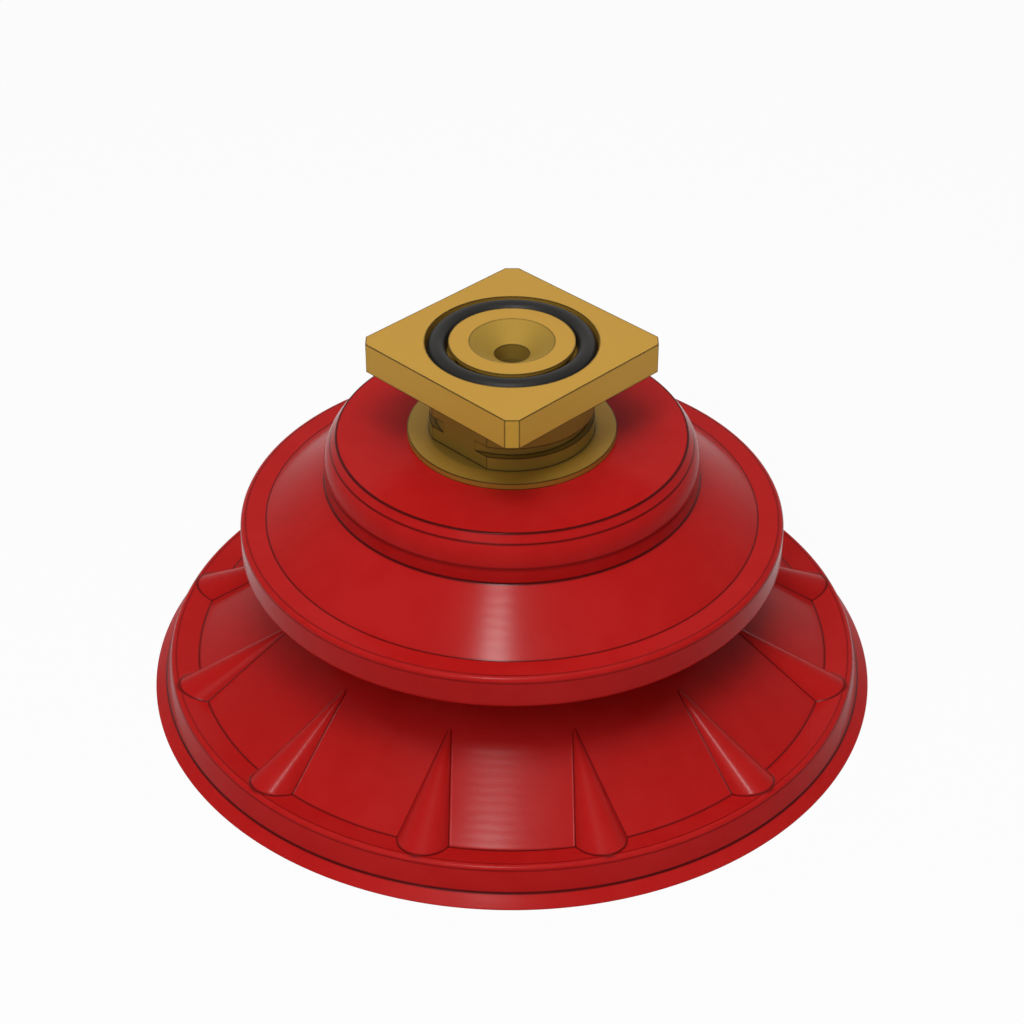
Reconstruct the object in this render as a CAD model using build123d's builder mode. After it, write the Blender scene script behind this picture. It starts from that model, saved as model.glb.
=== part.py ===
"""Bellows traction cup with a T-slot fitting, in millimetres.

A rubber cup of one and a half folds hangs from a square slide-in fitting. The origin is the
centre of the lip's underside and +Z runs up the cup's axis to the fitting's sealing face.
The cup is one moulding on the real object. Here it is divided where its thin walls bend, so
that each stiff zone can move on its own.
"""

import os
from math import cos, radians, sin, tan

from build123d import *

# Neck, the groove between the fold and the skirt
neck_radius = 24.5
neck_wall = 2.6
neck_height = 1.24  # straight part between the skirt's cone and the lower fold wall
neck_round = 1.2

# Skirt, with its widths measured one after the other out from the neck
neck_flare = 2.98  # the neck's foot runs this far down the skirt's cone
web_width = 5.26  # bare and flexible
ribbed_width = 14.03  # stiff, with the ribs on it
bead_width = 4.03  # inner flank of the bead that stiffens the edge
lip_reach = 2.7  # of the lip beyond the bead's corner
crease_height = 4.4  # where the skirt's cone meets the bead
skirt_fall = 32.1  # degrees below the horizontal
skirt_wall = 2.8
bead_rise = 14.2  # degrees
bead_round = 0.7
edge_taper = 13.8  # degrees that the edge wall leans in towards its top
lip_root_height = 1.46  # where the lip leaves the edge wall
lip_edge = 0.15  # thickness of the lip at its very edge
lip_land_width = 3.5  # flat sealing land at the lip's edge

# Ribs on the skirt
rib_count = 12
rib_tip_gap = 0.16  # from the web to the rib's tip
rib_tip_round = 0.15
rib_half_angle = 13.3  # degrees, of the cone that each rib is cut from
rib_sink = 6.0  # degrees that this cone's axis dips below the skirt's surface

# Grip cleats under the skirt
cleat_count = 24  # in each row
cleat_height = 1.2
cleat_root = 0.5  # moulded into the wall by this much
cleat_width = 2.2
cleat_length = 6.0  # measured out from the axis
cleat_margin = 3.03  # from the skirt's inner end to the first row
cleat_row_gap = 2.0
cleat_rows = 2

# Fold, with its widths measured from the neck out and back in to the head
bellows_wall = 2.4
lower_wall_width = 12.0
lower_wall_rise = 15.8  # degrees
fold_under_width = 2.72  # flat underside
fold_ledge_width = 3.75  # flat ledge on top
fold_height = 5.0
fold_round = 0.76
fold_root = 3.3  # length of the lower wall that belongs to the stiff fold
upper_wall_width = 8.62
upper_wall_fall = 36.5  # degrees

# Head
head_height = 7.0
head_thickness = 6.0  # of the rubber clamped between the flange and the washer
shoulder_radius = 5.77
shoulder_lean = 34.75  # degrees, of the flat chamfer above the shoulder's round
shoulder_chamfer_height = 1.24

# T-slot fitting
plate_side = 30.0
plate_thickness = 4.45
plate_corner = 1.4
slot_neck_radius = 11.68
slot_neck_height = 9.42
slot_neck_flats = 20.7  # across the two flats that run in the slot
catch_groove_depth = 0.88
catch_groove_width = 1.55
catch_groove_height = 2.07  # above the flange
flange_radius = 14.83
flange_thickness = 0.95
stem_radius = 7.0
stem_below_nut = 1.5
stem_chamfer = 0.8
bore_radius = 2.45
funnel_radius = 5.95
funnel_depth = 2.1

# Face seal
seal_section = 2.7
seal_proud = 0.24
seal_groove_clearance = 0.27  # from the ring to the groove's outer wall
seal_land_clearance = 0.29  # from the land's rim to the ring
land_radius = 8.83  # rim of the land inside the groove
land_lip = 0.6  # thickness of that rim
land_undercut = 1.03  # how far the inner wall falls back below the rim

# Washer and nut under the head
washer_radius = 14.0
washer_thickness = 2.5
washer_chamfer = 0.4
nut_flats = 22.0
nut_height = 8.0
nut_corner_angle = 30.0  # degrees, of the chamfer that takes off the corners
nut_corner_reach = 2.2  # of that chamfer beyond the flats, past the corners
thread_clearance = 0.08

# Radii that follow
web_radius = neck_radius + neck_flare
skirt_radius = web_radius + web_width
crease_radius = skirt_radius + ribbed_width
bead_radius = crease_radius + bead_width
lip_radius = bead_radius + lip_reach
fold_under_radius = neck_radius + lower_wall_width
fold_radius = fold_under_radius + fold_under_width
fold_ledge_radius = fold_radius - fold_ledge_width
head_radius = fold_ledge_radius - upper_wall_width
fold_cut_radius = fold_under_radius - fold_root
neck_inner_radius = neck_radius - neck_wall
hole_radius = stem_radius + thread_clearance

# Slopes of the walls, and how far apart their two faces lie along Z or along X
skirt_slope = tan(radians(skirt_fall))
skirt_wall_drop = skirt_wall / cos(radians(skirt_fall))
lower_slope = tan(radians(lower_wall_rise))
lower_wall_drop = bellows_wall / cos(radians(lower_wall_rise))
upper_slope = tan(radians(upper_wall_fall))
upper_wall_span = bellows_wall / sin(radians(upper_wall_fall))

# Heights that follow
bead_z = crease_height + bead_width * tan(radians(bead_rise))
skirt_top_z = crease_height + (crease_radius - skirt_radius) * skirt_slope
web_top_z = crease_height + (crease_radius - web_radius) * skirt_slope
neck_foot_z = crease_height + (crease_radius - neck_radius) * skirt_slope
neck_top_z = neck_foot_z + neck_height
fold_under_z = neck_top_z + lower_wall_width * lower_slope
fold_ledge_z = fold_under_z + fold_height
head_foot_z = fold_ledge_z + upper_wall_width * upper_slope
head_top_z = head_foot_z + head_height
head_under_z = head_top_z - head_thickness
slot_neck_z = head_top_z + flange_thickness
plate_z = slot_neck_z + slot_neck_height
face_z = plate_z + plate_thickness
washer_z = head_under_z - washer_thickness
nut_z = washer_z - nut_height
stem_z = nut_z - stem_below_nut


def skirt_over(z):
    """Radius of the skirt's outer cone at height z."""
    return crease_radius - (z - crease_height) / skirt_slope


def skirt_under(z):
    """Radius of the skirt's inner cone at height z."""
    return skirt_over(z + skirt_wall_drop)


def skirt_inside(radius):
    """Height of the skirt's inner cone at a radius."""
    return crease_height + (crease_radius - radius) * skirt_slope - skirt_wall_drop


def lower_under(radius):
    """Height of the lower fold wall's outer face at a radius."""
    return neck_top_z + (radius - neck_radius) * lower_slope


def lower_over(radius):
    """Height of the lower fold wall's inner face at a radius."""
    return lower_under(radius) + lower_wall_drop


def upper_inside(z):
    """Radius of the upper fold wall's inner face at height z."""
    return fold_ledge_radius - upper_wall_span - (z - fold_ledge_z) / upper_slope


# The two inner faces of the fold meet in a groove at this radius
upper_height_at_axis = fold_ledge_z + upper_slope * upper_inside(fold_ledge_z)
groove_radius = (upper_height_at_axis - lower_over(0)) / (upper_slope + lower_slope)

# Sealing ring and its groove, from the land outwards
seal_radius = land_radius + seal_land_clearance + seal_section / 2
seal_groove_radius = seal_radius + seal_section / 2 + seal_groove_clearance
seal_z = face_z + seal_proud - seal_section / 2
seal_groove_depth = seal_section - seal_proud

with BuildPart() as slot_fitting:
    with BuildSketch(Plane.XY.offset(plate_z)):
        Rectangle(plate_side, plate_side)
        chamfer(vertices(), length=plate_corner)
    extrude(amount=plate_thickness)
    with BuildSketch(Plane.XY.offset(slot_neck_z)):
        Circle(slot_neck_radius)
        Rectangle(2 * slot_neck_radius, slot_neck_flats, mode=Mode.INTERSECT)
    extrude(amount=slot_neck_height)
    with BuildSketch(Plane.XY.offset(head_top_z)):
        Circle(flange_radius)
    extrude(amount=flange_thickness)
    with BuildSketch(Plane.XY.offset(stem_z)):
        Circle(stem_radius)
    extrude(amount=head_top_z - stem_z)
    chamfer(edges().group_by(Axis.Z)[0], length=stem_chamfer)
    with BuildSketch(Plane.XZ) as catch_groove:
        groove_floor = slot_neck_radius - catch_groove_depth
        with Locations((groove_floor, slot_neck_z + catch_groove_height)):
            Rectangle(
                2 * catch_groove_depth, catch_groove_width, align=(Align.MIN, Align.MIN)
            )
    revolve(axis=Axis.Z, mode=Mode.SUBTRACT)
    with BuildSketch(Plane.XZ) as seal_groove:
        floor_z = face_z - seal_groove_depth
        undercut_radius = land_radius - land_undercut
        Polygon(
            (land_radius, face_z),
            (land_radius, face_z - land_lip),
            (undercut_radius, face_z - land_lip),
            (undercut_radius, floor_z),
            (seal_groove_radius, floor_z),
            (seal_groove_radius, face_z),
            align=None,
        )
    revolve(axis=Axis.Z, mode=Mode.SUBTRACT)
    with BuildSketch(Plane.XZ) as vacuum_port:
        Polygon(
            (0, face_z),
            (funnel_radius, face_z),
            (bore_radius, face_z - funnel_depth),
            (bore_radius, stem_z),
            (0, stem_z),
            align=None,
        )
    revolve(axis=Axis.Z, mode=Mode.SUBTRACT)

with BuildPart() as face_seal_ring:
    with Locations((0, 0, seal_z)):
        Torus(seal_radius, seal_section / 2)

with BuildPart() as clamp_washer:
    with BuildSketch(Plane.XY.offset(washer_z)):
        Circle(washer_radius)
        Circle(hole_radius, mode=Mode.SUBTRACT)
    extrude(amount=washer_thickness)
    rims = edges().filter_by(GeomType.CIRCLE).group_by(SortBy.RADIUS)[-1]
    chamfer(rims, length=washer_chamfer)

with BuildPart() as retaining_nut:
    with BuildSketch(Plane.XY.offset(nut_z)):
        RegularPolygon(nut_flats / 2, 6, major_radius=False)
        Circle(hole_radius, mode=Mode.SUBTRACT)
    extrude(amount=nut_height)
    with BuildSketch(Plane.XZ) as corner_cones:
        reach = nut_flats / 2 + nut_corner_reach
        rise = nut_corner_reach * tan(radians(nut_corner_angle))
        Polygon(
            (0, nut_z),
            (nut_flats / 2, nut_z),
            (reach, nut_z + rise),
            (reach, washer_z - rise),
            (nut_flats / 2, washer_z),
            (0, washer_z),
            align=None,
        )
    revolve(axis=Axis.Z, mode=Mode.INTERSECT)

with BuildPart() as cup_head:
    with BuildSketch(Plane.XZ):
        lean = radians(shoulder_lean)
        arc_top_z = head_top_z - shoulder_chamfer_height
        arc_foot_z = arc_top_z - shoulder_radius * sin(lean)
        arc_top_radius = head_radius - shoulder_radius * (1 - cos(lean))
        top_radius = arc_top_radius - shoulder_chamfer_height * tan(lean)
        with BuildLine():
            Polyline(
                (arc_top_radius, arc_top_z),
                (top_radius, head_top_z),
                (hole_radius, head_top_z),
                (hole_radius, head_under_z),
                (upper_inside(head_under_z), head_under_z),
                (upper_inside(head_foot_z), head_foot_z),
                (head_radius, head_foot_z),
                (head_radius, arc_foot_z),
            )
            TangentArc(
                (head_radius, arc_foot_z), (arc_top_radius, arc_top_z), tangent=(0, 1)
            )
        make_face()
    revolve(axis=Axis.Z)

with BuildPart() as upper_wall:
    with BuildSketch(Plane.XZ):
        Polygon(
            (head_radius, head_foot_z),
            (upper_inside(head_foot_z), head_foot_z),
            (upper_inside(fold_ledge_z), fold_ledge_z),
            (fold_ledge_radius, fold_ledge_z),
            align=None,
        )
    revolve(axis=Axis.Z)

with BuildPart() as fold_rim:
    with BuildSketch(Plane.XZ):
        Polygon(
            (upper_inside(fold_ledge_z), fold_ledge_z),
            (groove_radius, lower_over(groove_radius)),
            (fold_cut_radius, lower_over(fold_cut_radius)),
            (fold_cut_radius, lower_under(fold_cut_radius)),
            (fold_under_radius, fold_under_z),
            (fold_radius, fold_under_z),
            (fold_radius, fold_ledge_z),
            align=None,
        )
        fillet(vertices().group_by(Axis.X)[-1], radius=fold_round)
    revolve(axis=Axis.Z)

with BuildPart() as lower_wall:
    with BuildSketch(Plane.XZ):
        Polygon(
            (fold_cut_radius, lower_over(fold_cut_radius)),
            (neck_inner_radius, lower_over(neck_inner_radius)),
            (neck_inner_radius, neck_top_z),
            (neck_radius, neck_top_z),
            (fold_cut_radius, lower_under(fold_cut_radius)),
            align=None,
        )
    revolve(axis=Axis.Z)

with BuildPart() as neck_ring:
    with BuildSketch(Plane.XZ):
        Polygon(
            (neck_inner_radius, neck_top_z),
            (neck_radius, neck_top_z),
            (neck_radius, neck_foot_z),
            (skirt_over(web_top_z), web_top_z),
            (skirt_under(web_top_z), web_top_z),
            (neck_inner_radius, skirt_inside(neck_inner_radius)),
            align=None,
        )
        foot_corner = vertices().sort_by_distance((neck_radius, neck_foot_z))[0]
        fillet(foot_corner, radius=neck_round)
    revolve(axis=Axis.Z)

with BuildPart() as skirt_web:
    with BuildSketch(Plane.XZ):
        Polygon(
            (skirt_under(web_top_z), web_top_z),
            (skirt_over(web_top_z), web_top_z),
            (skirt_over(skirt_top_z), skirt_top_z),
            (skirt_under(skirt_top_z), skirt_top_z),
            align=None,
        )
    revolve(axis=Axis.Z)

# One rib is the cap of a cone that lies on the skirt, cut off at the middle of the wall
rib_tip_radius = skirt_radius + rib_tip_gap
rib_tip_z = crease_height + (crease_radius - rib_tip_radius) * skirt_slope
rib_dip = radians(skirt_fall + rib_sink)
rib_run = bead_radius - rib_tip_radius
rib_drop = rib_tip_z - bead_z
rib_length = rib_run * cos(rib_dip) + rib_drop * sin(rib_dip)
rib_plane = Plane(
    origin=(rib_tip_radius, 0, rib_tip_z),
    x_dir=(0, 1, 0),
    z_dir=(cos(rib_dip), 0, -sin(rib_dip)),
)
with BuildPart() as rib:
    with Locations(rib_plane):
        Cone(
            rib_tip_round,
            rib_tip_round + rib_length * tan(radians(rib_half_angle)),
            rib_length,
            align=(Align.CENTER, Align.CENTER, Align.MIN),
        )
    with BuildSketch(Plane.XZ):
        half_drop = skirt_wall_drop / 2
        Polygon(
            (skirt_over(skirt_top_z), skirt_top_z),
            (skirt_over(skirt_top_z) - half_drop, skirt_top_z + half_drop),
            (lip_radius, skirt_top_z + half_drop),
            (lip_radius, lip_root_height),
            (crease_radius, crease_height - half_drop),
            align=None,
        )
    revolve(axis=Axis.Z, mode=Mode.INTERSECT)

cleats = []
for row in range(cleat_rows):
    row_radius = skirt_under(skirt_top_z) + cleat_margin
    row_radius += row * (cleat_length + cleat_row_gap)
    row_end = row_radius + cleat_length
    cleat_drop = cleat_height / cos(radians(skirt_fall))
    with BuildPart() as cleat:
        with BuildSketch(Plane.XZ):
            Polygon(
                (row_radius, skirt_inside(row_radius) + cleat_root),
                (row_end, skirt_inside(row_end) + cleat_root),
                (row_end, skirt_inside(row_end) - cleat_drop),
                (row_radius, skirt_inside(row_radius) - cleat_drop),
                align=None,
            )
        extrude(amount=cleat_width / 2, both=True)
    cleats.append(cleat.part)

with BuildPart() as skirt:
    with BuildSketch(Plane.XZ):
        edge_spread = (bead_z - lip_root_height) * tan(radians(edge_taper))
        Polygon(
            (skirt_under(skirt_top_z), skirt_top_z),
            (skirt_over(skirt_top_z), skirt_top_z),
            (crease_radius, crease_height),
            (bead_radius, bead_z),
            (bead_radius + edge_spread, lip_root_height),
            (lip_radius, lip_edge),
            (lip_radius, 0),
            (lip_radius - lip_land_width, 0),
            (crease_radius, skirt_inside(crease_radius)),
            align=None,
        )
        bead_corner = vertices().sort_by_distance((bead_radius, bead_z))[0]
        fillet(bead_corner, radius=bead_round)
    revolve(axis=Axis.Z)
    with PolarLocations(0, rib_count):
        add(rib.part)
    for row, row_cleat in enumerate(cleats):
        # The second row stands in the gaps of the first
        stagger = row * 180 / cleat_count
        with PolarLocations(0, cleat_count, start_angle=stagger):
            add(row_cleat)

os.makedirs("parts", exist_ok=True)
pieces = {
    "slot_fitting": slot_fitting,
    "face_seal_ring": face_seal_ring,
    "clamp_washer": clamp_washer,
    "retaining_nut": retaining_nut,
    "cup_head": cup_head,
    "upper_wall": upper_wall,
    "fold_rim": fold_rim,
    "lower_wall": lower_wall,
    "neck_ring": neck_ring,
    "skirt_web": skirt_web,
    "skirt": skirt,
}
for name, piece in pieces.items():
    piece.part.label = name
    export_step(piece.part, f"parts/{name}.step")
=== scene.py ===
"""Looks of the bellows traction cup: moulded red rubber on a machined T-slot fitting.

Every rubber piece is a closed surface worked out with numpy, mostly a profile of (radius,
height) points carried round the cup's axis. Lengths are in millimetres until they go into a
mesh, which is in metres. The fitting, its sealing ring, the washer and the nut are CAD nodes
with materials of their own.
"""

from math import cos, pi, radians, sin, tan

import bpy
import numpy as np
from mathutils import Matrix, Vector


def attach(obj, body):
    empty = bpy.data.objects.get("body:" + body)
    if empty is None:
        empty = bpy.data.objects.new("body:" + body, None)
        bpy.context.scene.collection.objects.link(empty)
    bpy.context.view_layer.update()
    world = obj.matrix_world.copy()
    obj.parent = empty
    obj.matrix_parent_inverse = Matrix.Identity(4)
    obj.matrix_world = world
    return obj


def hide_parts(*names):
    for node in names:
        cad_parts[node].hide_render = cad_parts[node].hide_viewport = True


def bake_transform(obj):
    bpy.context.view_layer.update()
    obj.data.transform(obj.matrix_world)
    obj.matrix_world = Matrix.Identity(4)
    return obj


MM = 0.001

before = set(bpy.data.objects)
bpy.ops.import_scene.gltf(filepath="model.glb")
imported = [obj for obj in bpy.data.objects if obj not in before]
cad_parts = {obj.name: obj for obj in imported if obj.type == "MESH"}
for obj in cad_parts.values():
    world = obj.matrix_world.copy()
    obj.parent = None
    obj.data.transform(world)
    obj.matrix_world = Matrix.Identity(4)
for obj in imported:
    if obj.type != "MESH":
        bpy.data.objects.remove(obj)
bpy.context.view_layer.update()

# Sizes in millimetres

STEM_HOLE = 7.08
HEAD_CORE = 24.0  # radius at which the head is divided from the wall's root
HEAD_RADIUS = 26.85
HEAD_TOP, HEAD_SPLIT, HEAD_UNDER, HEAD_FOOT = 41.384, 36.2, 35.384, 34.384
SHOULDER_BEND, SHOULDER_TURN = 5.77, radians(34.75)
SHOULDER_DROP = 1.24  # from the head's top to the end of the shoulder's arc
SHOULDER_FOOT = HEAD_TOP - SHOULDER_DROP - SHOULDER_BEND * sin(SHOULDER_TURN)

UPPER_INSIDE = (21.47, 22.82, 31.44)  # radii of the upper wall's inner side, from its root down
LEDGE_RADIUS, LEDGE_HEIGHT = 35.47, 28.006
FOLD_RADIUS, FOLD_UNDER, FOLD_HEEL = 39.22, 23.006, 36.5
FOLD_HOLLOW = (35.30, 25.14)
FOLD_CUT = 33.2  # radius where the stiff fold ends
FOLD_CUT_OVER, FOLD_CUT_UNDER = 24.566, 22.072  # heights of the lower wall's two sides there

NECK_RADIUS, NECK_INSIDE = 24.5, 21.9
NECK_ROOF, NECK_TOP = 21.368, 19.61
NECK_CUT = 17.9  # height where the stiff neck ends and the bare web starts to bend
WEB_CUT = 15.55  # height where the web's two bends meet
SKIRT_TOP = 13.201

SKIRT_TILT = radians(32.1)
SKIRT_SLOPE = tan(SKIRT_TILT)
WALL_DROP = 2.8 / cos(SKIRT_TILT)  # the skirt's thickness along Z
CREASE = (46.77, 4.4)  # radius and height where the skirt's cone meets the bead
BEAD = (50.8, 5.42)
LIP_ROOT = (51.77, 1.46)
LIP_RADIUS, LIP_EDGE = 53.5, 0.16
LAND_RADIUS = 50.0

# Profiles

TURN = 192  # steps round the axis of a plain ring
CURVE_STEPS = 6  # points on each rounded corner
LONGEST = 0.9  # mm between the points of a profile
SOFT_CORNER = 0.5  # rounding from which a corner has a line at each end, and not all over
LINE_WIDTH = 0.22  # mm from an edge at which its dark line has faded
EDGE, FAINT = 1.0, 0.65  # how dark the line on a corner is
SAME_PLACE = 1e-5  # mm under which two points of a profile are one


def cone_radius(z, drop=0.0):
    """Radius of the skirt's cone at height z, or of the cone that lies drop below it."""
    return CREASE[0] - (z + drop - CREASE[1]) / SKIRT_SLOPE


def cone_height(radius, drop=0.0):
    """Height of the skirt's cone, or of the one drop below it, at a radius."""
    return CREASE[1] + (CREASE[0] - radius) * SKIRT_SLOPE - drop


def with_line_ends(loop):
    """The loop with a point of no line LINE_WIDTH in from both ends of each straight stretch."""
    on = np.roll(loop, -1, 0)
    length = np.linalg.norm(on[:, :2] - loop[:, :2], axis=1)
    room = length > 3 * LINE_WIDTH
    share = np.where(room, LINE_WIDTH / np.maximum(length, LINE_WIDTH), 0)[:, None]
    near, far = loop + (on - loop) * share, on + (loop - on) * share
    near[:, 2], far[:, 2] = 0, 0
    kept = np.stack([np.ones(len(loop), bool), room, room], axis=1).ravel()
    return np.stack([loop, near, far], axis=1).reshape(-1, 3)[kept]


def divided(loop):
    """The loop with points at most LONGEST apart, evenly spaced along each of its stretches."""
    ends = np.vstack([loop, loop[:1]])
    steps = np.linalg.norm(np.diff(ends[:, :2], axis=0), axis=1)
    along = np.concatenate([[0], np.cumsum(steps)])
    pieces = np.maximum(1, np.ceil(steps / LONGEST)).astype(int)
    first = np.repeat(along[:-1], pieces)
    share = np.arange(pieces.sum()) - np.repeat(np.cumsum(pieces) - pieces, pieces)
    spots = first + share * np.repeat(steps / pieces, pieces)
    return np.stack([np.interp(spots, along, ends[:, k]) for k in range(3)], axis=1)


def rounded(corners):
    """A closed profile of corners (radius, height, rounding, line) as a dense loop of points.

    Each corner B with its tangent points A and C becomes the arc
    (A(1-t)^2 + 2wB t(1-t) + C t^2) / ((1-t)^2 + 2w t(1-t) + t^2), where w is the sine of half
    the corner's angle. The loop's third column is how dark the line is there, for corners that
    have one.
    """
    table = np.array([(*corner, 0)[:4] for corner in corners], float)
    at, bend = table[:, :2], table[:, 2]
    back = np.roll(at, 1, 0) - at
    on = np.roll(at, -1, 0) - at
    back /= np.linalg.norm(back, axis=1)[:, None]
    on /= np.linalg.norm(on, axis=1)[:, None]
    half = np.arccos(np.clip((back * on).sum(1), -1, 1)) / 2
    reach = (bend / np.tan(half))[:, None]
    t = np.linspace(0, 1, CURVE_STEPS)[None, :, None]
    weight = np.sin(half)[:, None, None]
    start, middle, end = (p[:, None, :] for p in (at + back * reach, at, at + on * reach))
    top = start * (1 - t) ** 2 + 2 * weight * middle * t * (1 - t) + end * t**2
    loop = (top / ((1 - t) ** 2 + 2 * weight * t * (1 - t) + t**2)).reshape(-1, 2)
    at_end = np.isin(np.arange(CURVE_STEPS), (0, CURVE_STEPS - 1))[None, :]
    drawn = table[:, 3:] * (at_end | (bend < SOFT_CORNER)[:, None])
    loop = np.column_stack([loop, drawn.ravel()])
    apart = np.linalg.norm(np.roll(loop, -1, 0)[:, :2] - loop[:, :2], axis=1) > SAME_PLACE
    return divided(with_line_ends(loop[apart]))


def anticlockwise(loop):
    """The loop turned so that its solid side is on the left, which puts normals outwards."""
    r, z = loop[:, 0], loop[:, 1]
    area = (r * np.roll(z, -1) - np.roll(r, -1) * z).sum()
    return loop if area > 0 else loop[::-1]


# Meshes


def wrapped_faces(rows, columns):
    """Quads of a grid that closes on itself both ways, first edge along the columns."""
    i, j = np.meshgrid(np.arange(rows), np.arange(columns), indexing="ij")
    down, right = (i + 1) % rows, (j + 1) % columns
    spots = (i * columns + j, i * columns + right, down * columns + right, down * columns + j)
    return np.stack(spots, axis=-1).reshape(-1, 4)


def mesh_piece(name, points, faces, crease_angle=28, line=None):
    """A smooth-shaded object from points in millimetres, with its sharp edges kept sharp.

    A line becomes the point attribute edge_line, which is 1 on an edge and 0 away from it.
    """
    mesh = bpy.data.meshes.new(name)
    mesh.from_pydata((np.asarray(points).reshape(-1, 3) * MM).tolist(), [], list(faces))
    mesh.polygons.foreach_set("use_smooth", np.ones(len(mesh.polygons), bool))
    mesh.set_sharp_from_angle(angle=radians(crease_angle))
    if line is not None:
        drawn = mesh.attributes.new("edge_line", "FLOAT", "POINT")
        drawn.data.foreach_set("value", np.asarray(line, np.float32).ravel())
    mesh.update()
    made = bpy.data.objects.new(name, mesh)
    bpy.context.scene.collection.objects.link(made)
    return made


def carried_round(radius, height, angle):
    """Points (r cos a, r sin a, z) of three arrays that broadcast to one grid."""
    r, z, a = np.broadcast_arrays(radius, height, angle)
    return np.stack([r * np.cos(a), r * np.sin(a), z], axis=-1)


def ring(name, corners):
    """A profile of rounded corners carried once round the axis: (r cos a, r sin a, z)."""
    loop = anticlockwise(rounded(corners))
    turn = np.linspace(0, 2 * pi, TURN, endpoint=False)
    points = carried_round(loop[:, :1], loop[:, 1:2], turn[None, :])
    line = np.repeat(loop[:, 2], TURN)
    return mesh_piece(name, points, wrapped_faces(len(loop), TURN).tolist(), line=line)


# Ribbed skirt

RIBS = 12
SECTOR = 2 * pi / RIBS
RIB_TIP = (32.9, cone_height(32.9))
RIB_DIP = radians(38.1)  # of the rib's own axis below the horizontal
RIB_GROWTH = tan(radians(13.3))
RIB_START = 0.15  # radius of the rib's cone at its tip
RIB_FOOT_TURN = radians(65)  # of its round section, from the middle to the foot
NO_RIB = -1e3  # height that stands for no rib at all
BLEND_RADIUS = 0.3  # mm of height over which two surfaces run into each other
CREASE_BLEND = 0.2  # the same, where the cone meets the bead
EDGE_STRIP = 0.02  # mm beside the cut edge at the skirt's top, which keeps its shading crisp

RIB_ROWS = (34.2, 45.9)  # radii between which the grid's rows lie close, for the ribs
CONE_ROWS = (9, 40, 6)  # rows above, along and below the ribs
FLANK_ROWS = 24
FLANK_SHARE = 0.825  # of the bead's flank that these rows cover, before its rounding
FLANK_GAP = 0.05  # mm at least from their last row to the next
SPREAD_ROWS = (1, 16, 5)  # rows after the upper side, twice, and rows before the last one

# Columns from a rib's middle to its foot, and from there to the sector's edge, as shares
RIB_SHARES = np.sin(np.linspace(0, RIB_FOOT_TURN, 14)) / sin(RIB_FOOT_TURN)
PANEL_SHARES = np.array([0.018, 0.045, 0.09, 0.16, 0.27, 0.42, 0.6, 0.8, 1])
LEAST_FOOT = 0.22  # mm from a rib's middle to its foot, also where it has none
WIDEST_FOOT = 0.8  # share of half a sector, in which the foot is looked for


def joined(a, b, soft=BLEND_RADIUS):
    """The higher of two heights, with a fillet: max(a, b) + max(0, soft - |a - b|)^2 / (4 soft)."""
    return np.maximum(a, b) + np.maximum(0, soft - np.abs(a - b)) ** 2 / (4 * soft)


def rib_height(radius, angle):
    """Height of the rib's cone over a point of the sector, or far below where it has none.

    With t along the cone's axis and q square to it, the surface is q^2 + y^2 = (r0 + k t)^2.
    Put in terms of the height w over the tip that is a w^2 + 2 b w + c = 0, whose upper root
    is the rib.
    """
    out = radius * np.cos(angle) - RIB_TIP[0]
    side = radius * np.sin(angle)
    s, c, k = sin(RIB_DIP), cos(RIB_DIP), RIB_GROWTH
    reach = RIB_START + k * out * c
    square = c * c - k * k * s * s
    half = out * s * c + k * s * reach
    rest = out * out * s * s + side * side - reach * reach
    under = half * half - square * rest
    rise = (-half + np.sqrt(np.maximum(under, 0))) / square
    along = out * c - rise * s
    return np.where((under > 0) & (along > 0), RIB_TIP[1] + rise, NO_RIB)


def rib_foot(radius, base):
    """Angle from the rib's middle to the line where it meets the height base, by halving."""
    low, high = np.zeros_like(radius), np.full_like(radius, WIDEST_FOOT * SECTOR / 2)
    for _ in range(30):
        middle = (low + high) / 2
        on_rib = rib_height(radius, middle) > base
        low, high = np.where(on_rib, middle, low), np.where(on_rib, high, middle)
    return low


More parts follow.
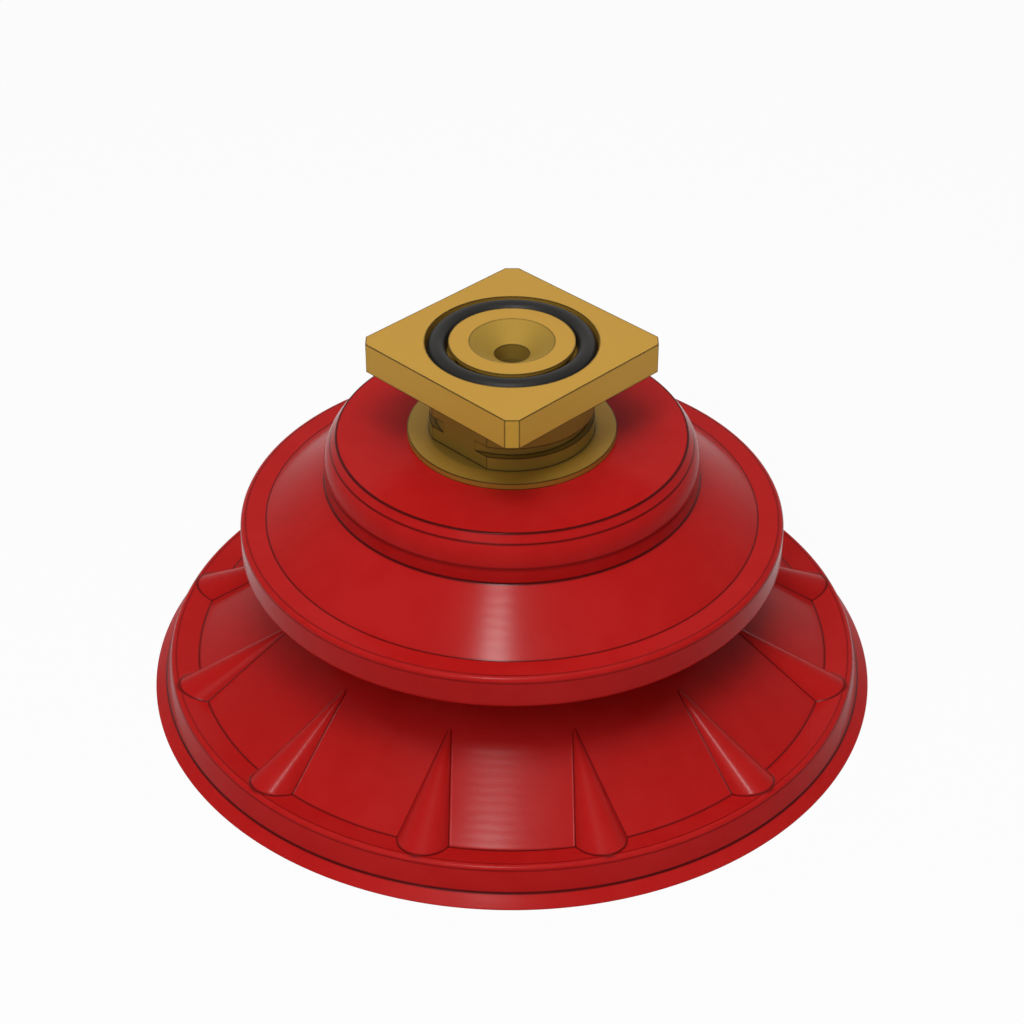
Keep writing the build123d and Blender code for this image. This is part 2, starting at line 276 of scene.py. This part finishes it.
def skirt_profile():
    """The skirt's closed profile without ribs, and how many of its points are its upper side.

    The upper side is z = joined(cone, bead's flank), and the rest is a profile of rounded
    corners, from the bead round the lip and the underside up to the cut edge at the top.
    """
    top_radius = cone_radius(SKIRT_TOP)
    stops = (top_radius + EDGE_STRIP, *RIB_ROWS, CREASE[0])
    runs = [np.linspace(a, b, n, endpoint=False) for a, b, n in zip(stops, stops[1:], CONE_ROWS)]
    flank_share = np.linspace(0, 1, FLANK_ROWS, endpoint=False) * FLANK_SHARE
    flank_r = CREASE[0] + (BEAD[0] - CREASE[0]) * flank_share
    bead_slope = (BEAD[1] - CREASE[1]) / (BEAD[0] - CREASE[0])
    upper_r = np.concatenate([[top_radius], *runs, flank_r])
    flank_z = CREASE[1] + (upper_r - CREASE[0]) * bead_slope
    upper_z = joined(cone_height(upper_r), flank_z, CREASE_BLEND)
    crease_line = np.maximum(0, 1 - np.abs(upper_r - CREASE[0]) / LINE_WIDTH)
    rim = rounded(
        [
            (*CREASE, 0),
            (*BEAD, 0.7, FAINT),
            (*LIP_ROOT, 0.25, EDGE),
            (LIP_RADIUS, LIP_EDGE, 0.05),
            (LIP_RADIUS, 0, 0.05),
            (LAND_RADIUS, 0, 0.2),
            (CREASE[0], cone_height(CREASE[0], WALL_DROP), 0.8),
            (cone_radius(SKIRT_TOP, WALL_DROP), SKIRT_TOP, 0),
            (top_radius - EDGE_STRIP, SKIRT_TOP, 0),
            (top_radius, SKIRT_TOP, 0),
        ]
    )
    start = int(np.argmax(rim[:, 0] > flank_r[-1] + FLANK_GAP))
    from_corner = np.abs(rim[::-1, :2] - [top_radius, SKIRT_TOP]).sum(1)
    stop = len(rim) - 1 - int(np.argmin(from_corner))
    upper = np.column_stack([upper_r, upper_z, crease_line])
    return np.vstack([upper, rim[start:stop]]), len(upper)


def skirt_columns(loop, upper_count, upper_side):
    """Angles of a sector's columns from its rib's middle, with a row for each profile point.

    One part of them lies between the rib's middle and its foot f(r), and the other between the
    foot and the sector's edge, so that the crease beside each rib runs along the grid. Away
    from the upper side they are even: a = warped (1 - s) + even s, where s rises from 0 to 1
    between the first two of SPREAD_ROWS and falls again over the last one.
    """
    foot = np.where(upper_side, rib_foot(loop[:, 0], loop[:, 1]), 0)
    foot = np.maximum(foot, LEAST_FOOT / loop[:, 0])[:, None]
    half = SECTOR / 2
    warped = np.concatenate([RIB_SHARES * foot, foot + PANEL_SHARES * (half - foot)], axis=1)
    even = np.linspace(0, half, warped.shape[1])[None, :]
    first, full, last = SPREAD_ROWS
    stops = [upper_count + first, upper_count + full, len(loop) - last, len(loop)]
    spread = np.interp(np.arange(len(loop)), stops, [0, 1, 1, 0])[:, None]
    column = warped * (1 - spread) + even * spread
    return np.concatenate([-column[:, ::-1][:, :-1], column[:, :-1]], axis=1)


def skirt_piece(name):
    """The skirt with its ribs, bead and lip: z = joined(profile, rib) on its upper side.

    The dark line beside a rib is where its surface and the profile are less than LINE_WIDTH
    apart in height. The profile's own lines stop where a rib covers them.
    """
    loop, upper_count = skirt_profile()
    upper_side = np.arange(len(loop)) < upper_count + CURVE_STEPS // 2
    sector = skirt_columns(loop, upper_count, upper_side)
    middles = (np.arange(RIBS) * SECTOR)[None, :, None]
    turn = (sector[:, None, :] + middles).reshape(len(loop), -1)
    radius, base, line = loop[:, :1], loop[:, 1:2], loop[:, 2:]
    on_top = upper_side[:, None]
    rib = rib_height(radius, np.abs(np.tile(sector, (1, RIBS))))
    height = np.where(on_top, joined(base, rib), base)
    over = rib - base
    beside_rib = np.maximum(0, 1 - np.abs(over) / LINE_WIDTH) * on_top
    line = np.maximum(beside_rib, np.where(on_top & (over > 0), 0, line))
    points = carried_round(radius, height, turn)
    faces = wrapped_faces(*height.shape)[:, ::-1]
    return mesh_piece(name, points, faces.tolist(), crease_angle=75, line=line)


# Cleats under the skirt

CLEATS = 24  # in each row
CLEAT_ROWS = 2
CLEAT_LENGTH = 6.0
CLEAT_PITCH = 8.0  # mm from one row to the next
CLEAT_INSET = 3.03  # mm from the skirt's inner edge to the first row
CLEAT_ALONG = np.array([0, 0.03, 0.1, 0.3, 0.7, 0.9, 0.97, 1])  # places of a cleat's sections
CLEAT_NARROW = np.array([0.72, 0.9, 1, 1, 1, 1, 0.9, 0.72])  # and their shares of full size
CLEAT_SIDE = np.array([-1.1, -1.08, -0.98, -0.8, 0.8, 0.98, 1.08, 1.1])
CLEAT_DEPTH = np.array([-0.4, 0.85, 1.1, 1.2, 1.2, 1.1, 0.85, -0.4])  # below zero in the wall


def cleats_piece(name):
    """Grip cleats under the skirt, in two staggered rows.

    Each is a closed sleeve. Its section (side, depth), drawn in at both ends, is carried out
    from the axis along the underside: z = underside(r) - depth / cos(tilt), and its point lies
    at (r cos a - y sin a, r sin a + y cos a). Its two end sections close it.
    """
    row = np.repeat(np.arange(CLEAT_ROWS), CLEATS)
    turn = (np.tile(np.arange(CLEATS), CLEAT_ROWS) + row * 0.5) * 2 * pi / CLEATS
    start = cone_radius(SKIRT_TOP, WALL_DROP) + CLEAT_INSET + row * CLEAT_PITCH
    r = start[:, None, None] + CLEAT_LENGTH * CLEAT_ALONG[None, :, None]
    lift = np.where(CLEAT_DEPTH > 0, CLEAT_DEPTH * CLEAT_NARROW[:, None], CLEAT_DEPTH)[None]
    z = cone_height(r, WALL_DROP) - lift / cos(SKIRT_TILT)
    y = CLEAT_SIDE[None, None, :] * CLEAT_NARROW[None, :, None]
    c, s = np.cos(turn)[:, None, None], np.sin(turn)[:, None, None]
    r, z, y, c, s = np.broadcast_arrays(r, z, y, c, s)
    points = np.stack([r * c - y * s, r * s + y * c, z], axis=-1)
    rings, sides = len(CLEAT_ALONG), len(CLEAT_SIDE)
    i, j = np.meshgrid(np.arange(rings - 1), np.arange(sides), indexing="ij")
    right = (j + 1) % sides
    quads = [i * sides + j, i * sides + right, (i + 1) * sides + right, (i + 1) * sides + j]
    quads = np.stack(quads, axis=-1).reshape(-1, 4)
    block = (np.arange(len(row)) * rings * sides)[:, None, None]
    walls = (quads[None] + block).reshape(-1, 4).tolist()
    ends = np.stack([np.arange(sides)[::-1], (rings - 1) * sides + np.arange(sides)])
    ends = (ends[None] + block).reshape(-1, sides).tolist()
    return mesh_piece(name, points, walls + ends, crease_angle=50)


# Pieces

SHOULDER_STEPS = 12


def shoulder(turn):
    """Point of the shoulder's arc at an angle a: (R - b (1 - cos a), foot + b sin a)."""
    radius = HEAD_RADIUS - SHOULDER_BEND * (1 - cos(turn))
    return radius, SHOULDER_FOOT + SHOULDER_BEND * sin(turn)


shoulder_top = shoulder(SHOULDER_TURN)
shoulder_turns = np.linspace(0, SHOULDER_TURN, SHOULDER_STEPS + 1)[1:-1]

head = ring(
    "cup_head_rubber",
    [
        (STEM_HOLE, HEAD_UNDER, 0),
        (HEAD_CORE, HEAD_UNDER, 0),
        (HEAD_CORE, HEAD_SPLIT, 0),
        (HEAD_RADIUS, HEAD_SPLIT, 0),
        (HEAD_RADIUS, SHOULDER_FOOT, 0, FAINT),
        *((*shoulder(turn), 0) for turn in shoulder_turns),
        (*shoulder_top, 0.12, EDGE),
        (shoulder_top[0] - SHOULDER_DROP * tan(SHOULDER_TURN), HEAD_TOP, 0.22, EDGE),
        (STEM_HOLE, HEAD_TOP, 0),
    ],
)
upper_fold_wall = ring(
    "upper_fold_wall",
    [
        (HEAD_CORE, HEAD_UNDER, 0),
        (UPPER_INSIDE[0], HEAD_UNDER, 0),
        (UPPER_INSIDE[1], HEAD_FOOT, 0),
        (UPPER_INSIDE[2], LEDGE_HEIGHT, 0),
        (LEDGE_RADIUS, LEDGE_HEIGHT, 0, EDGE),
        (HEAD_RADIUS, HEAD_FOOT, 0.2, EDGE),
        (HEAD_RADIUS, HEAD_SPLIT, 0),
        (HEAD_CORE, HEAD_SPLIT, 0),
    ],
)
fold = ring(
    "fold_rim_rubber",
    [
        (UPPER_INSIDE[2], LEDGE_HEIGHT, 0),
        (*FOLD_HOLLOW, 0.6),
        (FOLD_CUT, FOLD_CUT_OVER, 0),
        (FOLD_CUT, FOLD_CUT_UNDER, 0),
        (FOLD_HEEL, FOLD_UNDER, 0.6),
        (FOLD_RADIUS, FOLD_UNDER, 0.76),
        (FOLD_RADIUS, LEDGE_HEIGHT, 0.76, FAINT),
        (LEDGE_RADIUS, LEDGE_HEIGHT, 0, EDGE),
    ],
)
lower_fold_wall = ring(
    "lower_fold_wall",
    [
        (FOLD_CUT, FOLD_CUT_OVER, 0),
        (NECK_INSIDE, NECK_ROOF, 0.3),
        (NECK_INSIDE, NECK_TOP, 0),
        (NECK_RADIUS, NECK_TOP, 0),
        (FOLD_CUT, FOLD_CUT_UNDER, 0),
    ],
)
neck = ring(
    "neck_rubber",
    [
        (NECK_INSIDE, NECK_TOP, 0),
        (NECK_RADIUS, NECK_TOP, 0),
        (NECK_RADIUS, cone_height(NECK_RADIUS), 0.68, FAINT),
        (cone_radius(NECK_CUT), NECK_CUT, 0),
        (NECK_INSIDE, NECK_CUT, 0),
    ],
)
upper_web = ring(
    "upper_web_rubber",
    [
        (NECK_INSIDE, NECK_CUT, 0),
        (cone_radius(NECK_CUT), NECK_CUT, 0),
        (cone_radius(WEB_CUT), WEB_CUT, 0),
        (cone_radius(WEB_CUT, WALL_DROP), WEB_CUT, 0),
        (NECK_INSIDE, cone_height(NECK_INSIDE, WALL_DROP), 0.4),
    ],
)
lower_web = ring(
    "lower_web_rubber",
    [
        (cone_radius(WEB_CUT), WEB_CUT, 0),
        (cone_radius(SKIRT_TOP), SKIRT_TOP, 0),
        (cone_radius(SKIRT_TOP, WALL_DROP), SKIRT_TOP, 0),
        (cone_radius(WEB_CUT, WALL_DROP), WEB_CUT, 0),
    ],
)
skirt = skirt_piece("ribbed_skirt_rubber")
cleats = cleats_piece("grip_cleats_rubber")

# Materials


class Value:
    """A shader socket that takes part in Python sums. Numbers stay numbers until they meet one."""

    def __init__(self, nodes, socket):
        self.nodes, self.socket = nodes, socket

    def _with(self, operation, a, b):
        return self.nodes.maths(operation, a, b)

    def __add__(self, other):
        return self._with("ADD", self, other)

    def __sub__(self, other):
        return self._with("SUBTRACT", self, other)

    def __rsub__(self, other):
        return self._with("SUBTRACT", other, self)

    def __mul__(self, other):
        return self._with("MULTIPLY", self, other)

    def __pow__(self, other):
        return self._with("POWER", self, other)

    __radd__, __rmul__ = __add__, __mul__


class Nodes:
    """A tree of shader nodes, of a material or of the world."""

    def __init__(self, tree):
        self.tree = tree

    def node(self, kind, settings, sockets, out=0):
        """A node of that kind, its settings first, then its sockets.

        It gives the output that is named or numbered, or one Value for each of a tuple.
        """
        made = self.tree.nodes.new(kind)
        for key, value in settings.items():
            setattr(made, key, value)
        for key, value in sockets.items():
            self.put(made.inputs[key], value)
        if isinstance(out, tuple):
            return tuple(Value(self, made.outputs[key]) for key in out)
        return Value(self, made.outputs[out])

    def put(self, socket, value):
        """Links a Value to a socket, or sets a plain number or colour on it."""
        if isinstance(value, Value):
            self.tree.links.new(value.socket, socket)
        else:
            socket.default_value = value

    def maths(self, operation, *values):
        """A Math node over one or two values."""
        return self.node("ShaderNodeMath", {"operation": operation}, dict(enumerate(values)))

    def seen(self):
        """1 where the camera, a mirror or clear matter looks, and 0 for light on things."""
        looking = ("Is Camera Ray", "Is Glossy Ray", "Is Transmission Ray")
        camera_ray, glossy_ray, clear_ray = self.node("ShaderNodeLightPath", {}, {}, out=looking)
        return self.maths("MAXIMUM", self.maths("MAXIMUM", camera_ray, glossy_ray), clear_ray)


class Finish(Nodes):
    """One material: a Principled shader and the nodes that feed it."""

    MIX_A, MIX_B, MIX_RESULT = 6, 7, 2  # a Mix node's colour sockets
    LINE_STARTS, LINE_FULL = 0.001, 0.025  # how far a bevel turns where an edge's line begins

    def __init__(self, name, **constants):
        self.material = bpy.data.materials.new(name)
        self.material.use_nodes = True
        super().__init__(self.material.node_tree)
        self.shader = self.tree.nodes["Principled BSDF"]
        self.feed(**constants)

    def feed(self, **values):
        """Sets constants on the shader's own sockets, or links what varies to them."""
        for socket, value in values.items():
            self.put(self.shader.inputs[socket.replace("_", " ")], value)

    def place(self):
        """The object's own coordinates, in metres."""
        return self.node("ShaderNodeTexCoord", {}, {}, out="Object")

    def stretched(self, scale):
        """The object's coordinates, drawn out by a scale for each axis."""
        return self.node("ShaderNodeMapping", {}, {"Vector": self.place(), "Scale": scale})

    def noise(self, where, scale, detail=2.0, roughness=0.5):
        """Noise from 0 to 1 at a scale in waves a metre."""
        sockets = {"Vector": where, "Scale": scale, "Detail": detail, "Roughness": roughness}
        return self.node("ShaderNodeTexNoise", {}, sockets)

    def from_axis(self):
        """Distance from the part's axis, and height over the lip, in metres."""
        place = {"Vector": self.place()}
        x, y, z = self.node("ShaderNodeSeparateXYZ", {}, place, out=("X", "Y", "Z"))
        return (x * x + y * y) ** 0.5, z

    def clipped(self, value, low, high):
        """A value carried from low..high to 0..1, and kept inside it."""
        sockets = {"Value": value, "From Min": low, "From Max": high}
        return self.node("ShaderNodeMapRange", {"interpolation_type": "SMOOTHSTEP"}, sockets)

    def past(self, value, limit, half_width):
        """0 below a limit and 1 above it, for a value in metres and a limit in millimetres."""
        return self.clipped(value, (limit - half_width) * MM, (limit + half_width) * MM)

    def wave(self, value, length):
        """A sine of a value in metres, at a wavelength in millimetres."""
        return self.maths("SINE", value * (2 * pi / (length * MM)))

    def mixed(self, share, a, b):
        """A colour between a and b."""
        sockets = {"Factor": share, self.MIX_A: a, self.MIX_B: b}
        return self.node("ShaderNodeMix", {"data_type": "RGBA"}, sockets, out=self.MIX_RESULT)

    def bump(self, height, strength, distance, **under):
        """A normal from a height, whose full swing is a distance in millimetres."""
        sockets = {"Height": height, "Strength": strength, "Distance": distance * MM, **under}
        return self.node("ShaderNodeBump", {}, sockets)

    def broken_edges(self, radius):
        """A normal that rounds the edges by a radius in millimetres, as light deburring does."""
        return self.node("ShaderNodeBevel", {"samples": 6}, {"Radius": radius * MM})

    def near_edges(self, radius):
        """1 along an edge and 0 at a radius in millimetres from it, by how far a bevel turns."""
        face = self.node("ShaderNodeNewGeometry", {}, {}, out="Normal")
        both = {0: self.broken_edges(radius), 1: face}
        kept = self.node("ShaderNodeVectorMath", {"operation": "DOT_PRODUCT"}, both, out="Value")
        return self.clipped(1.0 - kept, self.LINE_STARTS, self.LINE_FULL)


def rubber_finish():
    """Red moulded elastomer: satin, with the mould's fine turning lines and a faint bloom."""
    made = Finish("red_moulded_rubber", Specular_IOR_Level=0.04, IOR=1.5)
    radius, height = made.from_axis()
    cloud = made.noise(made.place(), 55.0, detail=3.0, roughness=0.55)
    patch = made.noise(made.place(), 240.0, detail=4.0, roughness=0.6)
    grain = made.noise(made.place(), 3400.0, detail=3.0, roughness=0.6)
    wobble = made.noise(made.place(), 300.0, detail=1.0)
    turned = made.wave(radius + height * 0.6 + wobble * 0.0004, 0.7)
    bloom = made.clipped(cloud * 0.65 + patch * 0.35, 0.42, 0.68)
    deep, plain = (0.405, 0.0085, 0.0078, 1), (0.44, 0.0105, 0.0095, 1)
    dusty, line = (0.44, 0.0130, 0.0120, 1), (0.014, 0.0013, 0.0012, 1)
    colour = made.mixed(bloom, made.mixed(patch, deep, plain), dusty)
    edge = made.node("ShaderNodeAttribute", {"attribute_name": "edge_line"}, {}, out="Fac")
    made.feed(
        Base_Color=made.mixed(edge * (0.78 + patch * 0.2), colour, line),
        Roughness=0.17 + bloom * 0.05 + grain * 0.05,
        Normal=made.bump(grain * 0.35 + turned * 0.12, 0.3, 0.03),
    )
    return made.material


def brass_finish():
    """Machined brass: milled lines on the plate, turned lines on the round parts, and painted shade
    below the plate and in the funnel.
    """
    land_edge, funnel_edge, neck_edge, plate_under = 9.0, 5.9, 12.1, 51.7
    made = Finish("machined_brass", Metallic=0.4, Specular_IOR_Level=0.1)
    radius, height = made.from_axis()
    cloud = made.noise(made.place(), 120.0, detail=3.0, roughness=0.55)
    fleck = made.noise(made.place(), 1500.0)
    milled = made.noise(made.stretched((60.0, 5200.0, 5200.0)), 1.0)
    round_it = {"X": radius * 4200.0, "Y": height * 4200.0}
    turned = made.noise(made.node("ShaderNodeCombineXYZ", {}, round_it), 1.0)
    on_land = 1.0 - made.past(radius, land_edge, 0.05)
    in_funnel = 1.0 - made.past(radius, funnel_edge, 0.1)
    below_plate = 1.0 - made.past(height, plate_under, 0.1)
    in_slot = below_plate * (1.0 - made.past(radius, neck_edge, 0.3))
    is_turned = made.maths("MAXIMUM", on_land, below_plate)
    lines = milled * (1.0 - is_turned) + turned * is_turned
    # Painted shade: below the plate, on the neck in the slot and in the funnel the colour is
    # darkened towards a shaded brown, standing in for the shade there.
    painted_shade = below_plate * 0.35 + in_slot * 0.5 + in_funnel * 0.65
    warm, cool = (0.505, 0.284, 0.040, 1), (0.472, 0.262, 0.036, 1)
    shaded_brass, line = (0.240, 0.170, 0.034, 1), (0.018, 0.012, 0.004, 1)
    colour = made.mixed(painted_shade, made.mixed(cloud * 0.6 + fleck * 0.4, warm, cool), shaded_brass)
    made.feed(
        Base_Color=made.mixed(made.near_edges(0.32) * 0.95, colour, line),
        Roughness=0.38 + cloud * 0.08 + lines * 0.10 + in_funnel * 0.2,
        Normal=made.bump(lines, 0.30, 0.02, Normal=made.broken_edges(0.18)),
    )
    return made.material


def seal_finish():
    """Black nitrile of the sealing ring: smooth, faintly greased."""
    made = Finish("black_nitrile", Specular_IOR_Level=0.14, IOR=1.5)
    grain = made.noise(made.place(), 3000.0, detail=3.0)
    grease = made.noise(made.place(), 260.0)
    made.feed(
        Base_Color=made.mixed(grease, (0.009, 0.0085, 0.0073, 1), (0.016, 0.0150, 0.0130, 1)),
        Roughness=0.38 + grease * 0.16,
        Normal=made.bump(grain, 0.25, 0.02),
    )
    return made.material


def zinc_finish():
    """Zinc-plated steel of the washer and nut, with its faint spangle."""
    made = Finish("zinc_plated_steel", Metallic=1.0)
    radius, height = made.from_axis()
    spangle = made.noise(made.place(), 700.0, detail=3.0, roughness=0.6)
    cloud = made.noise(made.place(), 140.0)
    rings = made.wave(radius + height, 0.45)
    made.feed(
        Base_Color=made.mixed(cloud, (0.40, 0.41, 0.43, 1), (0.52, 0.52, 0.50, 1)),
        Roughness=0.26 + spangle * 0.2,
        Normal=made.bump(spangle * 0.5 + rings * 0.2, 0.3, 0.02),
    )
    return made.material


rubber, brass, nitrile, zinc = rubber_finish(), brass_finish(), seal_finish(), zinc_finish()

rubber_pieces = (
    head,
    upper_fold_wall,
    fold,
    lower_fold_wall,
    neck,
    upper_web,
    lower_web,
    skirt,
    cleats,
)
for piece in rubber_pieces:
    piece.data.materials.append(rubber)

carried_over = {
    "slot_fitting": (brass, "yellow_brass"),
    "face_seal_ring": (nitrile, "black_elastomer"),
    "clamp_washer": (zinc, "zinc_steel"),
    "retaining_nut": (zinc, "zinc_steel"),
}
for node_name, (material, slot_name) in carried_over.items():
    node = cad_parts[node_name]
    node.data.materials.clear()
    node.data.materials.append(material)

# What each piece follows

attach(head, "mount")
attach(fold, "fold")
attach(neck, "neck")
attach(skirt, "lip")
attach(cleats, "lip")


def bend(piece, above, below, high, low):
    """Bakes the piece's placement into its mesh. The two bodies and the two heights are not used.
    """
    high * MM
    low * MM
    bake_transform(piece)


bend(upper_fold_wall, "mount", "fold", HEAD_SPLIT, LEDGE_HEIGHT)
bend(lower_fold_wall, "fold", "neck", FOLD_CUT_UNDER, NECK_TOP)
bend(upper_web, "neck", "web", NECK_CUT, WEB_CUT)
bend(lower_web, "web", "lip", WEB_CUT, SKIRT_TOP)

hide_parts("cup_head")
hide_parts("upper_wall")
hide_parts("fold_rim")
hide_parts("lower_wall")
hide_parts("neck_ring")
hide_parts("skirt_web")
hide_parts("skirt_web")
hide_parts("skirt")
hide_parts("skirt")

# Floor, light and camera

FLOOR_GLOW = 0.93  # share of its own white that the floor shows over its lit colour and shadow
WORLD_LIGHT = 0.10  # strength of the world where it falls on things
WHITE = (1, 1, 1, 1)


def floor_finish():
    """Pale and plain: its own white to what looks at it, mixed with its lit colour.

    It is clear from below, so that views from there show the cup.
    """
    pale_grey = (0.78, 0.78, 0.78, 1)
    made = Finish("pale_floor", Base_Color=pale_grey, Roughness=0.9, Specular_IOR_Level=0.0)
    glow = made.node("ShaderNodeEmission", {}, {"Color": WHITE, "Strength": 1.0})
    clear = made.node("ShaderNodeBsdfTransparent", {}, {})
    from_below = made.node("ShaderNodeNewGeometry", {}, {}, out="Backfacing")
    lit = Value(made, made.shader.outputs["BSDF"])
    pale = made.node("ShaderNodeMixShader", {}, {0: made.seen() * FLOOR_GLOW, 1: lit, 2: glow})
    whole = made.node("ShaderNodeMixShader", {}, {0: from_below, 1: pale, 2: clear})
    made.put(made.tree.nodes["Material Output"].inputs["Surface"], whole)
    return made.material


def floor_piece(name, reach=2.5, steps=48):
    """A flat disc (R cos a, R sin a, 0) of a reach in metres, under the lip."""
    turn = np.linspace(0, 2 * pi, steps, endpoint=False)
    points = carried_round(reach / MM, 0.0, turn)
    return mesh_piece(name, points, [list(range(steps))])


floor = floor_piece("floor")
floor.data.materials.append(floor_finish())

world = bpy.data.worlds.new("plain_studio")
bpy.context.scene.world = world
world.use_nodes = True
studio = Nodes(world.node_tree)
backdrop = world.node_tree.nodes["Background"].inputs
studio.put(backdrop["Color"], WHITE)
studio.put(backdrop["Strength"], studio.seen() * (1 - WORLD_LIGHT) + WORLD_LIGHT)


def aim(thing, azimuth, elevation, distance, target):
    """Puts a lamp or camera at that bearing from the target, looking at it.

    Azimuth 0 is in front, at -Y, and 90 is at +X. Distance and target are in metres.
    """
    a, e = radians(azimuth), radians(elevation)
    back = Vector((sin(a) * cos(e), -cos(a) * cos(e), sin(e)))
    thing.location = Vector(target) + back * distance
    thing.rotation_mode = "QUATERNION"
    thing.rotation_quaternion = back.to_track_quat("Z", "Y")


def lamp(name, azimuth, elevation, distance, size, power):
    """A white disc lamp that looks at the cup's middle."""
    data = bpy.data.lights.new(name, "AREA")
    data.shape, data.size, data.energy = "DISK", size, power
    made = bpy.data.objects.new(name, data)
    bpy.context.scene.collection.objects.link(made)
    aim(made, azimuth, elevation, distance, target=(0, 0, 0.025))
    return made


key_lamp = lamp("key_lamp", azimuth=42, elevation=70, distance=0.62, size=0.25, power=0.95)
key_lamp.visible_glossy = False
top_lamp = lamp("top_lamp", azimuth=35, elevation=80, distance=0.9, size=0.85, power=3.85)
top_lamp.visible_glossy = False
lamp("front_fill", azimuth=25, elevation=44, distance=0.9, size=0.5, power=2.2)
lamp("back_fill", azimuth=215, elevation=64, distance=1.0, size=0.6, power=0.6)
sheen_lamp = lamp("sheen_lamp", azimuth=34, elevation=63.5, distance=0.62, size=0.08, power=2.1)
sheen_lamp.visible_diffuse = False

camera_data = bpy.data.cameras.new("product_camera")
camera_data.lens, camera_data.sensor_width = 84.16, 36.0
camera_data.clip_start, camera_data.clip_end = 0.01, 20.0
camera = bpy.data.objects.new("product_camera", camera_data)
bpy.context.scene.collection.objects.link(camera)
aim(camera, azimuth=45, elevation=35.264, distance=0.3471, target=(0, 0, 0.02723))
bpy.context.scene.camera = camera
bpy.context.scene.view_settings.view_transform = "Standard"
